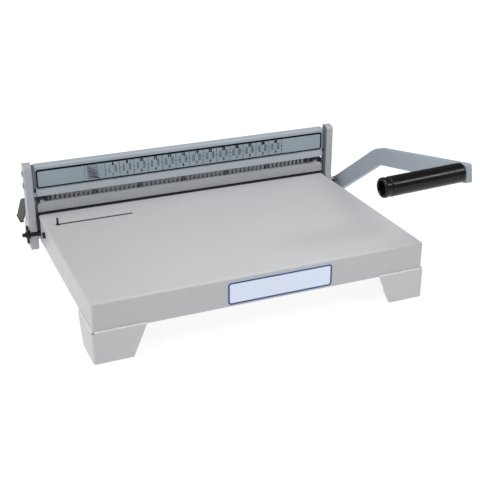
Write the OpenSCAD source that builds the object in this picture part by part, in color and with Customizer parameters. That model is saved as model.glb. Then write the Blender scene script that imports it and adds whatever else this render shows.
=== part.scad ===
// Manual binding punch: sheet-metal feed table, twin end posts, fixed top bar,
// sliding punch beam and a side lever on an eccentric shaft.
// Working frame: X along the table width, Y from the front lip to the rear,
// Z up from the table surface. place() moves it to the row frame.

/* [Table] */
// Width of the feed table
table_w = 420; // [380:5:460]
// Depth of the feed table, front lip to paper slot
table_d = 275; // [255:1:300]
// Thickness of the table sheet
sheet_t = 1.5; // [1:0.25:2]
// Height of the folded lip
lip_h = 36; // [32:1:40]
// Height of the front feet below the lip
foot_h = 40; // [34:1:50]
// Width of a front foot at its top
foot_w = 63; // [50:1:80]
// Width of a front foot at the floor
foot_w_low = 46.5; // [35:0.5:50]

/* [Head] */
// Thickness of an end post
post_t = 10.5; // [8:0.5:11]
// Depth of an end post, front to rear
post_d = 14; // [13:0.5:15]
// Height of the end posts above the table
post_top = 71; // [69:0.5:75]
// Air gap between an end post and the table side
post_gap = 3.5; // [3.5:0.5:5]
// Height of the fixed top bar above the table
bar_top = 66.5; // [64:0.5:67]
// Underside of the fixed top bar
bar_low = 34.8; // [34.8:0.1:36]
// Spacing of the punches
punch_pitch = 6.35; // [6:0.05:8]
// Width of one punch
punch_w = 3.6; // [3:0.1:4]
// Height of the paper slot
slot_h = 1.6; // [1.2:0.1:3]
// Travel of the punch beam
stroke = 4.4; // [3:0.1:4.4]

/* [Lever] */
// Width of the lever flat
arm_w = 23; // [20:0.5:25]
// Thickness of the lever flat
arm_t = 9; // [6:0.5:10]
// Outer radius of the grip sleeve
grip_r = 12; // [10.5:0.1:12.5]
// Length of the grip sleeve
grip_l = 108.5; // [90:0.5:110]
// Droop of the grip towards its free end, degrees
grip_tilt = 2.05; // [0:0.05:2.5]
// Radius of the eccentric shaft
shaft_r = 7; // [6.5:0.05:7]

/* [Side stop] */
// Length of the side stop slot in the table
stop_slot_l = 103; // [100:1:140]

/* [Hidden] */
$fn = 48;
W = table_w;
D = table_d;
T = sheet_t;
FLOOR = -(lip_h + foot_h);          // floor level below the table surface
PX0 = -post_gap - post_t;           // outer face of the left post
PX1 = -post_gap;                    // inner face of the left post
PY0 = D - 7;                        // front face of the posts
PY1 = PY0 + post_d;
AY = D + 14;                        // eccentric shaft axis
AZ = -30;
ECC = 10.5;                         // throw of the eccentric lobes
LOBE_A = 168;                       // angle of the lobe centre at rest, from +Y
LY = AY + ECC * cos(LOBE_A);
LZ = AZ + ECC * sin(LOBE_A);
LOBE_R = 12;
PLX = 38;                           // middle of a pull plate, from the table side
STUD_Y = D - 8.5;                   // clamp stud axis
STUD_Z = -23.5;
PROW = D + 6;                       // middle of the punch row
BEAM_Z0 = 24;                       // underside of the punch beam at rest
BEAM_Z1 = 34.5;
GUIDE_Z1 = 15.1;                    // top of the guide bar
TR = D - 4.8;                       // rear edge of the table sheet
XE = W + 1.6;                       // right-hand end of the long bars
ARM_X = W + 31;                     // inner face of the lever
GY = -20.3;                         // grip axis at the lever, at rest
GZ = 94.3;
GX0 = ARM_X - 0.9 - grip_l;
// punch row: a centred row on one pitch, with guide pins standing in for some punches
PN = floor((W - 34) / punch_pitch);
PX_START = W / 2 - (PN - 1) * punch_pitch / 2;
function on_pitch(x) = PX_START + punch_pitch * round((x - PX_START) / punch_pitch);
PIN_X = concat([17], [for (i = [0 : 4]) on_pitch(77 + i * (W - 97) / 5)], [W - 19]);
PXS = [for (i = [0 : PN - 1]) let (x = PX_START + i * punch_pitch) if (min([for (p = PIN_X) abs(p - x)]) > punch_w / 2 + 3.2) x];
STOP_X = 16.6;
STOP_Y = D - 44.7;
LEG_X = 1.5;
// centre of the whole machine's footprint in the working frame
OX = (ARM_X + arm_t + 6.5 - 24) / 2;
OY = (D + 191.5 + GY - grip_r) / 2;

module place() { translate([-OX, -OY, -FLOOR]) children(); }
module yz(x0, x1) { translate([x0, 0, 0]) rotate([90, 0, 90]) linear_extrude(x1 - x0) children(); }
module xz(y0, y1) { translate([0, y1, 0]) rotate([90, 0, 0]) linear_extrude(y1 - y0) children(); }
module bx(x0, x1, y0, y1, z0, z1) { translate([x0, y0, z0]) cube([x1 - x0, y1 - y0, z1 - z0]); }
module xcyl(r, x0, x1, y, z) { translate([x0, y, z]) rotate([0, 90, 0]) cylinder(r = r, h = x1 - x0); }
module ycyl(r, x, y0, y1, z) { translate([x, y1, z]) rotate([90, 0, 0]) cylinder(r = r, h = y1 - y0); }
module zcyl(r, x, y, z0, z1) { translate([x, y, z0]) cylinder(r = r, h = z1 - z0); }
module hexx(r, x0, x1, y, z) { translate([x0, y, z]) rotate([0, 90, 0]) cylinder(r = r, h = x1 - x0, $fn = 6); }
// mirrors a left-hand shape to the right-hand side of the table
module right() { translate([W, 0, 0]) mirror([1, 0, 0]) children(); }
module both() { children(); right() children(); }
// rounded rectangle, corner radius r
module rrect(x0, x1, z0, z1, r) {
  union() {
    translate([x0 + r, z0]) square([x1 - x0 - 2 * r, z1 - z0]);
    translate([x0, z0 + r]) square([x1 - x0, z1 - z0 - 2 * r]);
    for (x = [x0 + r, x1 - r], z = [z0 + r, z1 - r]) translate([x, z]) circle(r);
  }
}
// block whose front corners and left, right and front top edges are rounded
module soft_top(x0, x1, y0, y1, z0, z1, r) {
  union() {
    translate([0, 0, z0]) linear_extrude(z1 - r - z0) union() {
      translate([x0, y0 + r]) square([x1 - x0, y1 - y0 - r]);
      translate([x0 + r, y0]) square([x1 - x0 - 2 * r, r + 0.1]);
      for (x = [x0 + r, x1 - r]) translate([x, y0 + r]) circle(r);
    }
    bx(x0 + r, x1 - r, y0 + r, y1, z1 - r - 0.01, z1);
    intersection() {
      bx(x0, x1, y0, y1, z1 - r - 0.01, z1);
      union() {
        for (x = [x0 + r, x1 - r]) ycyl(r, x, y0 + r, y1, z1 - r);
        xcyl(r, x0 + r, x1 - r, y0 + r, z1 - r);
        for (x = [x0 + r, x1 - r]) translate([x, y0 + r, z1 - r]) sphere(r);
      }
    }
  }
}

// ---------------------------------------------------------------- table
module table_tray() {
  color("lightgray") place() difference() {
    soft_top(0, W, 0, TR, -lip_h, 0, 3);
    difference() {
      soft_top(T, W - T, T, D + 5, -lip_h - 1, -T, 3 - T);
      bx(4, W - 4, TR - T, D, -9, 0);
    }
    // side stop slot
    translate([0, 0, -5]) linear_extrude(10) rrect(STOP_X - 2.6, STOP_X - 2.6 + stop_slot_l, STOP_Y - 2.1, STOP_Y + 2.1, 2.09);
    // stud and bracket screw holes in the side lips
    both() xcyl(2.5, -1, T + 1, STUD_Y, STUD_Z);
    both() xcyl(2, -1, T + 1, D - 38.2, -15);
  }
}
module table_stiffener() {
  color("gray") place() yz(4, W - 4)
    polygon([[108, -T], [122, -T], [122, -14.5], [146, -14.5], [146, -T], [160, -T], [160, -T - 1.5],
             [147.5, -T - 1.5], [147.5, -16], [120.5, -16], [120.5, -T - 1.5], [108, -T - 1.5]]);
}
// front foot: folded corner skin outside the lip, backed by an inner doubler
module corner_plan(inset, th, l) {
  r = max(3.2 - inset, 0.5);
  difference() {
    union() {
      translate([-2 + inset, -2 + inset + r]) square([l, l - r]);
      translate([-2 + inset + r, -2 + inset]) square([l - r, l]);
      translate([-2 + inset + r, -2 + inset + r]) circle(r);
    }
    translate([-2 + inset + th, -2 + inset + th]) square(l + 5);
  }
}
module foot_skin(inset, th, top) {
  zb = FLOOR + 1.6;
  intersection() {
    translate([0, 0, zb]) linear_extrude(top - zb) corner_plan(inset, th, foot_w + 2);
    union() {
      // the front and side walls taper to the floor
      xz(-5, 8) polygon([[-5, zb - 1], [-5, top + 1], [foot_w - 2, top + 1], [foot_w - 2, -lip_h], [foot_w_low - 2, zb], [foot_w_low - 2, zb - 1]]);
      intersection() {
        yz(-5, 8) polygon([[-5, zb - 1], [-5, top + 1], [foot_w - 2, top + 1], [foot_w - 2, -lip_h], [foot_w_low - 2, zb], [foot_w_low - 2, zb - 1]]);
        bx(-5, 8, 7.9, foot_w + 5, -80, 0);
      }
    }
    bx(-5, foot_w + 5, -5, foot_w + 5, -90, 0);
  }
}
module foot_shape() {
  zb = FLOOR + 1.6;
  difference() {
    union() {
      foot_skin(0, 2, -lip_h + 1.8);
      foot_skin(2, T, -lip_h);
      foot_skin(2 + T, T, -lip_h + 16);
      bx(4, foot_w_low - 8, 2.9, 16, zb, zb + 1.8);
      bx(2.9, 16, 4, foot_w_low - 8, zb, zb + 1.8);
    }
    // relief hole in the folded corner
    translate([-1.4, -1.4, -lip_h]) sphere(2.2);
  }
}
module front_foot_left() { color("lightgray") place() foot_shape(); }
module front_foot_right() { color("lightgray") place() right() foot_shape(); }
module front_foot_pads() {
  color("dimgray") place() both() {
    zcyl(6.5, 8, 8, FLOOR, FLOOR + 1.6);
    zcyl(6.5, foot_w_low - 15, 8, FLOOR, FLOOR + 1.6);
    zcyl(6.5, 8, foot_w_low - 15, FLOOR, FLOOR + 1.6);
  }
}
module front_badge() { color("aliceblue") place() xz(-0.7, 0) rrect(W / 2 - 51.5, W / 2 + 83.5, -34.3, -4.9, 4.5); }

// ---------------------------------------------------------------- posts and fixed head
SCREW_Y = PY0 + 9.5;
module post_shape() {
  difference() {
    union() {
      yz(PX0, PX1) polygon([[PY0 - 3, -46], [PY0 + 8, -46], [AY - 1, AZ - 13.4], [AY + 12.8, AZ + 4], [PY1, 6], [PY1, post_top], [PY0 + 6, post_top], [PY0, post_top - 6], [PY0, -2], [PY0 - 3, -16]]);
      xcyl(6, PX0, PX1, PY0 + 6, post_top - 6);
      xcyl(13.5, PX0, PX1, AY, AZ);
    }
    xcyl(9.5, PX0 - 1, PX1 + 1, AY, AZ);
    // open notch for the clamp stud
    xcyl(3, PX0 - 1, PX1 + 1, STUD_Y, STUD_Z);
    bx(PX0 - 1, PX1 + 1, PY0 - 5, STUD_Y, STUD_Z - 3, STUD_Z + 3);
    for (z = [57.6, 41]) xcyl(2, PX0 - 1, PX1 + 1, SCREW_Y, z);
    xcyl(2.5, PX0 - 1, PX1 + 1, PY0 + 11, -5.2);
    translate([PX0 - 0.01, PY0 + 11, -5.2]) rotate([0, 90, 0]) cylinder(r1 = 4.5, r2 = 2.5, h = 2.5);
  }
}
module post_left() { color("silver") place() post_shape(); }
module post_right() { color("silver") place() right() post_shape(); }
module bush() {
  difference() {
    union() { xcyl(9.5, PX0, PX1, AY, AZ); xcyl(11, PX1, PX1 + 1.2, AY, AZ); }
    xcyl(shaft_r + 0.05, PX0 - 1, PX1 + 2, AY, AZ);
  }
}
module shaft_bushes() { color("darkgoldenrod") place() both() bush(); }
module top_bar() {
  color("silver") place() difference() {
    union() {
      bx(1, XE, D, D + 12, bar_low, bar_top - 2);
      bx(1, XE, D + 2, D + 12, bar_top - 2.01, bar_top);
      intersection() { bx(1, XE, D, D + 2.01, bar_top - 2.01, bar_top); xcyl(2, 1, XE, D + 2, bar_top - 2); }
    }
    both() for (z = [57.6, 41]) xcyl(2, -3, 16, SCREW_Y, z);
  }
}
module chart_plate() { color("slategray") place() xz(D - 0.8, D) rrect(1.6, XE - 2.6, 35.5, 61.7, 4); }
// blocks between the bars and a post: x0 is the post's inner face, x1 the bars' end
module spacer_set(x0, x1, s) {
  lo = min(x0, x1); hi = max(x0, x1);
  a = s > 0 ? lo : lo + 0.4;
  b = s > 0 ? hi - 0.4 : hi;
  bx(lo, hi, D + 0.3, D + 12, bar_low + 1.2, bar_top - 1.5);
  bx(a, b, D + 6, D + 12, 30.2, bar_low + 1.3);
  bx(a, b, D + 2, D + 16.5, -0.3, 19.3);
  bx(a, b, D + 14.9, D + 16.5, 19.2, 36.5);
}
module end_spacers() {
  color("gray") place() difference() {
    union() {
      spacer_set(PX1, 1, 1);
      spacer_set(XE, W - PX1, -1);
      // tongues that lie on the ends of the guide bar
      bx(0.5, 13.5, D + 11, D + 15.6, GUIDE_Z1, 19.3);
      bx(W - 13.5, XE + 0.5, D + 11, D + 15.6, GUIDE_Z1, 19.3);
    }
    both() for (z = [57.6, 41]) xcyl(2, PX1 - 1, 2, SCREW_Y, z);
  }
}
module punch_holes(c, z0, z1) { for (x = PXS) bx(x - punch_w / 2 - c, x + punch_w / 2 + c, PROW - 1.5 - c, PROW + 1.5 + c, z0, z1); }
module guide_bar() {
  color("darkgray") place() difference() {
    intersection() {
      yz(1, XE) polygon([[D + 1, slot_h], [D + 15, slot_h], [D + 15, GUIDE_Z1], [D, GUIDE_Z1], [D, slot_h + 0.35]]);
      xz(D - 1, D + 16) union() {
        translate([1, 0]) square([XE - 1, GUIDE_Z1 - 5]);
        translate([6, 0]) square([XE - 11, GUIDE_Z1]);
        for (x = [6, XE - 5]) translate([x, GUIDE_Z1 - 5]) circle(5);
      }
    }
    punch_holes(0.2, 0, 16);
    for (p = PIN_X) zcyl(1.55, p, PROW, 0, 16);
    both() zcyl(2.5, 8, PROW, 0, 16);
  }
}
module slot_spacer() { color("gray") place() bx(1, XE, D + 11, D + 15, -0.3, slot_h); }
module die_bar() {
  color("darkgray") place() difference() {
    bx(PX1, W - PX1, D, D + 15, -10.3, -0.3);
    punch_holes(0.12, -11, 1);
    for (p = PIN_X) zcyl(1.8, p, PROW, -11, 1);
    both() { zcyl(2.5, 8, PROW, -11, 1); xcyl(2.5, PX1 - 1, 3.5, PY0 + 11, -5.2); }
  }
}
module guide_bolts() {
  color("gainsboro") place() both() {
    zcyl(2.5, 8, PROW, -10.3, GUIDE_Z1);
    zcyl(4.3, 8, PROW, GUIDE_Z1, GUIDE_Z1 + 2.4);
    intersection() { translate([8, PROW, GUIDE_Z1 - 1.7]) sphere(5.7); zcyl(4.3, 8, PROW, GUIDE_Z1 + 2.39, 20); }
  }
}
module frame_screws() {
  color("dimgray") place() both() {
    for (z = [57.6, 41]) {
      xcyl(2, PX0, 15, SCREW_Y, z);
      difference() { xcyl(4, PX0 - 1.1, PX0, SCREW_Y, z); hexx(2, PX0 - 2, PX0 - 0.3, SCREW_Y, z); }
    }
    xcyl(2.5, PX0 + 2.4, 3.5, PY0 + 11, -5.2);
    difference() {
      translate([PX0, PY0 + 11, -5.2]) rotate([0, 90, 0]) cylinder(r1 = 4.48, r2 = 2.5, h = 2.48);
      hexx(1.8, PX0 - 1, PX0 + 1.4, PY0 + 11, -5.2);
    }
  }
}
// one compression spring, closed tube swept round its axis
function ring(c, u, v, r, n) = [for (k = [0 : n - 1]) c + r * (cos(360 * k / n) * u + sin(360 * k / n) * v)];
module coil(R, r, h, turns) {
  n = 6; m = 14; N = floor(turns * m);
  pts = [for (i = [0 : N]) let (a = 360 * i / m, c = [R * cos(a), R * sin(a), r + (h - 2 * r) * i / N],
         u = [cos(a), sin(a), 0]) each ring(c, u, [0, 0, 1], r, n)];
  sides = [for (i = [0 : N - 1], k = [0 : n - 1]) [i * n + k, i * n + (k + 1) % n, (i + 1) * n + (k + 1) % n, (i + 1) * n + k]];
  polyhedron(points = pts, faces = concat([for (s = sides) s], [[for (k = [n - 1 : -1 : 0]) k]], [[for (k = [0 : n - 1]) N * n + k]]), convexity = 8);
}
module return_springs() {
  color("dimgray") place() for (x = PIN_X) translate([x, PROW, GUIDE_Z1]) coil(2.55, 0.45, BEAM_Z0 - GUIDE_Z1, 3.5);
}

// ---------------------------------------------------------------- rear legs and chip tray
module leg_shape() {
  dy = D - 275;
  union() {
    yz(LEG_X, LEG_X + 4) translate([dy, 0]) polygon([[290, 14], [308.4, 14], [417.3, -30.8], [465.8, FLOOR + 1.7],
      [435.6, FLOOR + 1.7], [374.9, -28.7], [336, -13.5], [300, -9], [290, -9]]);
    // flange that bolts to the rear of the bars
    difference() {
      bx(LEG_X, 30, D + 15, D + 19, -9, 14);
      for (x = [14, 24]) { ycyl(2, x, D + 14, D + 20, 9); ycyl(2, x, D + 14, D + 20, -5.2); }
    }
  }
}
module rear_leg_left() { color("dimgray") place() leg_shape(); }
module rear_leg_right() { color("dimgray") place() right() leg_shape(); }
module rear_leg_pads() {
  color("black") place() both() bx(LEG_X - 0.5, LEG_X + 4.5, D + 161.5, D + 191.5, FLOOR, FLOOR + 1.7);
}
module leg_screws() {
  color("dimgray") place() both() for (x = [14, 24], z = [9, -5.2]) {
    ycyl(2, x, D + 15, D + 19, z);
    difference() { ycyl(3.6, x, D + 19, D + 21.6, z); translate([x, D + 22, z]) rotate([90, 0, 0]) cylinder(r = 1.7, h = 1.8, $fn = 6); }
  }
}
module tray_hangers() {
  color("gray") place() both() difference() {
    union() {
      bx(47, 48.8, D - 14, D + 25, -63, -10.3);
      bx(47, 58, D + 1, D + 14, -11.8, -10.3);
      bx(47, 58, D - 14, D + 25, -63, -61.5);
    }
    xcyl(shaft_r + 1.2, 46, 50, AY, AZ);
    zcyl(1.6, 54, D + 8, -13, -9);
  }
}
TX0 = 50.3;
module chip_tray() {
  color("dimgray") place() difference() {
    union() {
      bx(TX0, W - TX0, D - 12, D + 24, -61.2, -41.5);
      bx(W / 2 - 30, W / 2 + 30, D + 24, D + 31, -43, -41.5);
      bx(W / 2 - 30, W / 2 + 30, D + 29.5, D + 31, -48, -41.5);
    }
    bx(TX0 + 1.4, W - TX0 - 1.4, D - 10.6, D + 22.6, -59.8, -40);
  }
}

// ---------------------------------------------------------------- table clamps
module clamp_brackets() {
  color("gray") place() both() difference() {
    union() { bx(T, T + 3, D - 44, D - 2, -31, -9.99); bx(T, T + 8, D - 44, TR - T - 0.4, -10, -7); bx(T, T + 8, D - 44, D - 41, -31, -9.99); }
    xcyl(2.5, 0, 8, STUD_Y, STUD_Z);
    xcyl(2, 0, 8, D - 38.2, -15);
  }
}
module clamp_studs() {
  color("black") place() both() {
    xcyl(2.5, -24, T + 3, STUD_Y, STUD_Z);
    hexx(4.6, T + 3, T + 6.5, STUD_Y, STUD_Z);
  }
}
module stud_nuts() {
  color("gray") place() both() difference() { hexx(4.7, PX1, 0, STUD_Y, STUD_Z); xcyl(2.5, PX1 - 1, 1, STUD_Y, STUD_Z); }
}
module clamp_washers() {
  color("gray") place() both() difference() { xcyl(5.6, PX0 - 0.5, PX0, STUD_Y, STUD_Z); xcyl(2.6, PX0 - 2, PX0 + 1, STUD_Y, STUD_Z); }
}
module bracket_screws() {
  color("black") place() both() {
    xcyl(2, 0, T + 3, D - 38.2, -15);
    difference() { xcyl(4.1, -2.8, 0, D - 38.2, -15); hexx(2, -3.2, -1.2, D - 38.2, -15); }
  }
}
// pads that fill the gap between each post and the side of the table
module clamp_pads() { color("black") place() both() bx(PX1, 0, D - 12.5, D - 5.4, -18.5, -3); }
// wing nut with its two ears along Z
module wing_shape() {
  bx0 = PX0 - 0.8;
  difference() {
    union() {
      translate([bx0 - 5.5, STUD_Y, STUD_Z]) rotate([0, 90, 0]) cylinder(r1 = 3.7, r2 = 4.9, h = 5.5);
      yz(bx0 - 3.8, bx0 - 0.2) translate([STUD_Y, STUD_Z]) union() for (s = [1, -1]) {
        polygon([[-3.6, 0], [3.6, 0], [3.3, s * 9.6], [-3.3, s * 9.6]]);
        translate([0, s * 9.5]) circle(3.3);
      }
    }
    xcyl(2.55, bx0 - 7, bx0 + 1, STUD_Y, STUD_Z);
  }
}
module wing_nut_left() { color("black") place() wing_shape(); }
module wing_nut_right() { color("black") place() right() wing_shape(); }

// ---------------------------------------------------------------- moving punch group
module punch_beam() {
  color("silver") place() difference() {
    union() {
      // rail with a split front face, and the web that rises behind the top bar
      yz(1, XE) polygon([[D, BEAM_Z0], [D + 16, BEAM_Z0], [D + 16, 19.5], [D + 25, 19.5], [D + 25, 58], [D + 14, 58],
        [D + 14, BEAM_Z1], [D + 1.4, BEAM_Z1], [D, BEAM_Z1 - 1.8]]);
      // skirt behind the punches
      bx(6.5, W - 6.5, D + 22, D + 25, 11, 19.6);
      bx(PX1 + 0.4, 1.01, D + 1, D + 14.5, BEAM_Z0, BEAM_Z0 + 5.8);
      bx(XE - 0.01, W - PX1 - 0.4, D + 1, D + 14.5, BEAM_Z0, BEAM_Z0 + 5.8);
    }
    both() for (z = [30, 46]) ycyl(2, PLX, D + 15, D + 26, z);
  }
}
module punches() { color("gainsboro") place() for (x = PXS) bx(x - punch_w / 2, x + punch_w / 2, PROW - 1.5, PROW + 1.5, slot_h + 0.3, BEAM_Z0); }
module guide_pins() { color("gray") place() for (p = PIN_X) zcyl(1.5, p, PROW, slot_h + 0.3, BEAM_Z0); }
// yoke plate: a window round the eccentric lobe, and a stem up to the beam's web
module pull_shape() {
  wy0 = LY - LOBE_R - 1.2;
  difference() {
    yz(PLX - 4, PLX + 4) difference() {
      polygon([[wy0 - 5, LZ - 19], [D + 22, LZ - 19], [D + 31, LZ - 12], [D + 31, 53], [D + 25, 53], [D + 25, LZ + 16.6], [wy0 - 5, LZ + 16.6]]);
      translate([wy0, LZ - LOBE_R - 0.3]) square([AY + shaft_r + 1.5 - wy0, 2 * LOBE_R + 0.6]);
    }
    for (z = [30, 46]) ycyl(2, PLX, D + 24, D + 32, z);
  }
}
module pull_plate_left() { color("gray") place() pull_shape(); }
module pull_plate_right() { color("gray") place() right() pull_shape(); }
module pull_screws() {
  color("dimgray") place() both() for (z = [30, 46]) {
    ycyl(2, PLX, D + 15, D + 31, z);
    difference() { ycyl(3.5, PLX, D + 31, D + 33.6, z); translate([PLX, D + 34, z]) rotate([90, 0, 0]) cylinder(r = 1.7, h = 1.8, $fn = 6); }
  }
}

// ---------------------------------------------------------------- eccentric shaft and lever
module eccentric_shaft() {
  color("gainsboro") place() union() {
    xcyl(shaft_r, PX0, W - PX0 + 0.4, AY, AZ);
    xcyl(6, W - PX0, ARM_X + arm_t, AY, AZ);
    xcyl(4, ARM_X + arm_t, ARM_X + arm_t + 5.6, AY, AZ);
    both() xcyl(LOBE_R, PLX - 3.7, PLX + 3.7, LY, LZ);
  }
}
module shaft_collars() {
  color("gray") place() both() difference() { xcyl(11, PX1 + 1.5, 4, AY, AZ); xcyl(shaft_r, PX1, 5, AY, AZ); }
}
// lever centre line: shaft, bend, grip end
BEND = [D - 103.5, 52.8];
TIP = [-29.1, 94.9];
BEND_R = 65;                        // outside radius of the bend
module arm_2d() {
  h = arm_w / 2;
  d1 = (BEND - [AY, AZ]) / norm(BEND - [AY, AZ]);
  d2 = (TIP - BEND) / norm(TIP - BEND);
  n1 = [d1[1], -d1[0]];
  n2 = [d2[1], -d2[0]];
  m = (n1 + n2) / norm(n1 + n2);
  k = h / (m * n1);
  a1 = atan2(n1[1], n1[0]);
  a2 = atan2(n2[1], n2[0]);
  c = BEND + (k - BEND_R / cos((a2 - a1) / 2)) * m;
  union() {
    polygon(concat([[AY, AZ] + h * n1], [for (i = [0 : 8]) c + BEND_R * [cos(a1 + (a2 - a1) * i / 8), sin(a1 + (a2 - a1) * i / 8)]],
      [TIP + h * n2, TIP - h * n2, BEND - k * m, [AY, AZ] - h * n1]));
    translate([AY, AZ]) circle(13);
  }
}
module lever_arm() {
  color("lightslategray") place() difference() {
    yz(ARM_X, ARM_X + arm_t) arm_2d();
    xcyl(6, ARM_X - 1, ARM_X + arm_t + 1, AY, AZ);
    xcyl(3.5, ARM_X - 1, ARM_X + arm_t + 1, GY, GZ);
  }
}
module lever_hub() { color("gray") place() difference() { xcyl(12.5, ARM_X - 3, ARM_X, AY, AZ); xcyl(6, ARM_X - 4, ARM_X + 1, AY, AZ); } }
module lever_nuts() {
  color("gray") place() difference() {
    union() { xcyl(9.5, ARM_X + arm_t, ARM_X + arm_t + 1.2, AY, AZ); hexx(7.4, ARM_X + arm_t + 1.2, ARM_X + arm_t + 5.2, AY, AZ); xcyl(5.4, ARM_X + arm_t + 5.1, ARM_X + arm_t + 6.5, AY, AZ); }
    xcyl(4, ARM_X + arm_t - 1, ARM_X + arm_t + 5.6, AY, AZ);
  }
}
// turns a shape about the point where the grip axis meets the lever
module droop() { translate([ARM_X, GY, GZ]) rotate([0, -grip_tilt, 0]) translate([-ARM_X, -GY, -GZ]) children(); }
module grip_rod() {
  color("dimgray") place() {
    intersection() {
      droop() xcyl(6, GX0 + 16, ARM_X + 2, GY, GZ);
      bx(GX0, ARM_X, GY - 10, GY + 10, GZ - 20, GZ + 10);
    }
    xcyl(3.5, ARM_X - 0.1, ARM_X + arm_t + 0.4, GY, GZ);
    droop() {
      difference() { xcyl(7.9, GX0 + 11.5, GX0 + 15.6, GY, GZ); hexx(3, GX0 + 11, GX0 + 14, GY, GZ); }
      xcyl(4, GX0 + 15.5, GX0 + 16.1, GY, GZ);
    }
  }
}
module grip_sleeve() {
  color("black") place() droop() translate([GX0, GY, GZ]) rotate([0, 90, 0]) rotate_extrude($fn = 72)
    polygon([[6.06, 16], [8.4, 16], [8.4, 1.2], [9.2, 0], [grip_r - 1.4, 0], [grip_r - 0.4, 0.5], [grip_r, 1.6], [grip_r, 4.5], [grip_r - 0.5, 5.5], [grip_r - 0.5, 9],
             [grip_r, 10], [grip_r, grip_l - 1.6], [grip_r - 0.5, grip_l - 0.5], [grip_r - 1.6, grip_l], [6.06, grip_l]]);
}

// ---------------------------------------------------------------- side stop
module stop_pin() {
  color("black") place() {
    bx(STOP_X - 1.3, STOP_X + 1.3, STOP_Y - 3.2, STOP_Y + 3.2, 0.35, 1.5);
    bx(STOP_X - 1.1, STOP_X + 1.1, STOP_Y - 1.5, STOP_Y + 1.5, 1.4, 8.2);
    intersection() { ycyl(1.1, STOP_X, STOP_Y - 1.5, STOP_Y + 1.5, 8.2); bx(STOP_X - 2, STOP_X + 2, STOP_Y - 2, STOP_Y + 2, 8.19, 12); }
    bx(STOP_X - 1.3, STOP_X + 1.3, STOP_Y - 1.6, STOP_Y + 1.6, -T - 0.35, 0.4);
    zcyl(2, STOP_X, STOP_Y, -T - 8, -T - 0.3);
  }
}
module stop_knob() {
  color("dimgray") place() difference() {
    union() { zcyl(4.6, STOP_X, STOP_Y, -T - 1.6, -T - 0.3); zcyl(6.5, STOP_X, STOP_Y, -T - 7, -T - 1.59); }
    zcyl(2, STOP_X, STOP_Y, -T - 9, 0);
  }
}

table_tray();
table_stiffener();
front_foot_left();
front_foot_right();
front_foot_pads();
front_badge();
post_left();
post_right();
shaft_bushes();
top_bar();
chart_plate();
end_spacers();
guide_bar();
slot_spacer();
die_bar();
guide_bolts();
frame_screws();
return_springs();
rear_leg_left();
rear_leg_right();
rear_leg_pads();
leg_screws();
tray_hangers();
clamp_brackets();
clamp_studs();
stud_nuts();
clamp_washers();
bracket_screws();
clamp_pads();
wing_nut_left();
wing_nut_right();
punch_beam();
punches();
guide_pins();
pull_plate_left();
pull_plate_right();
pull_screws();
eccentric_shaft();
shaft_collars();
lever_arm();
lever_hub();
lever_nuts();
grip_rod();
grip_sleeve();
stop_pin();
stop_knob();
chip_tray();
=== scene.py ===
import math
import bmesh
import bpy
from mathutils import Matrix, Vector, geometry


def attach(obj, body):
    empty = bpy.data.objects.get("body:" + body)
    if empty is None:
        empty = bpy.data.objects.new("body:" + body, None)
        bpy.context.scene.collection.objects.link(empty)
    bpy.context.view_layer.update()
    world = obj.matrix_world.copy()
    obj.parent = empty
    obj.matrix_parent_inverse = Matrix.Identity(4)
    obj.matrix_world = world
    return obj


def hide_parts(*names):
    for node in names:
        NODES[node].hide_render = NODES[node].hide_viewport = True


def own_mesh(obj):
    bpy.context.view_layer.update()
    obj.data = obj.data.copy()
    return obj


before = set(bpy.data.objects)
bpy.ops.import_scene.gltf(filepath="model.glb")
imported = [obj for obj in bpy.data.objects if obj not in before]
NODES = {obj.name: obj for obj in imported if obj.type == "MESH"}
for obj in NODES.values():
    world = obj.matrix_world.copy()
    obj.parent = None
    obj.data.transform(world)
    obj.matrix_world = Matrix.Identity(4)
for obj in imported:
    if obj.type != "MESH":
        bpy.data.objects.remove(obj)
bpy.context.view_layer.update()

# Working frame in millimetres: X along the table width, Y from the front lip to the rear, Z up from the table surface.
W, D = 420.0, 275.0
OX, OY, FLOOR = 221.25, 217.1, -76.0
AY, AZ = 289.0, -30.0            # eccentric shaft
STUD_Y, STUD_Z = 266.5, -23.5    # clamp stud
GY, GZ, TILT = -20.3, 94.3, math.radians(2.05)   # grip axis at the lever, and its droop
ARM_X, ARM_T = 451.0, 9.0
XE = W + 1.6                     # right-hand end of the long bars


def P(x, y, z):
    """A working frame point as metres in the row frame."""
    return Vector(((x - OX) / 1000, (y - OY) / 1000, (z - FLOOR) / 1000))


def right(x, y, z):
    return P(W - x, y, z)


def droop(x, y, z):
    """A point on the grip, turned about the point where its axis meets the lever."""
    dx, dz = x - ARM_X, z - GZ
    return P(ARM_X + dx * math.cos(TILT) - dz * math.sin(TILT), y, GZ + dx * math.sin(TILT) + dz * math.cos(TILT))


# ------------------------------------------------------------------ outlines
def arc(cy, cz, r, a0, a1, step=7.5):
    n = max(2, int(math.ceil(abs(a1 - a0) / step)))
    return [(cy + r * math.cos(math.radians(a0 + (a1 - a0) * i / n)), cz + r * math.sin(math.radians(a0 + (a1 - a0) * i / n))) for i in range(n + 1)]


def circle(cy, cz, r, n=48):
    return [(cy + r * math.cos(2 * math.pi * i / n), cz + r * math.sin(2 * math.pi * i / n)) for i in range(n)]


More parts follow.
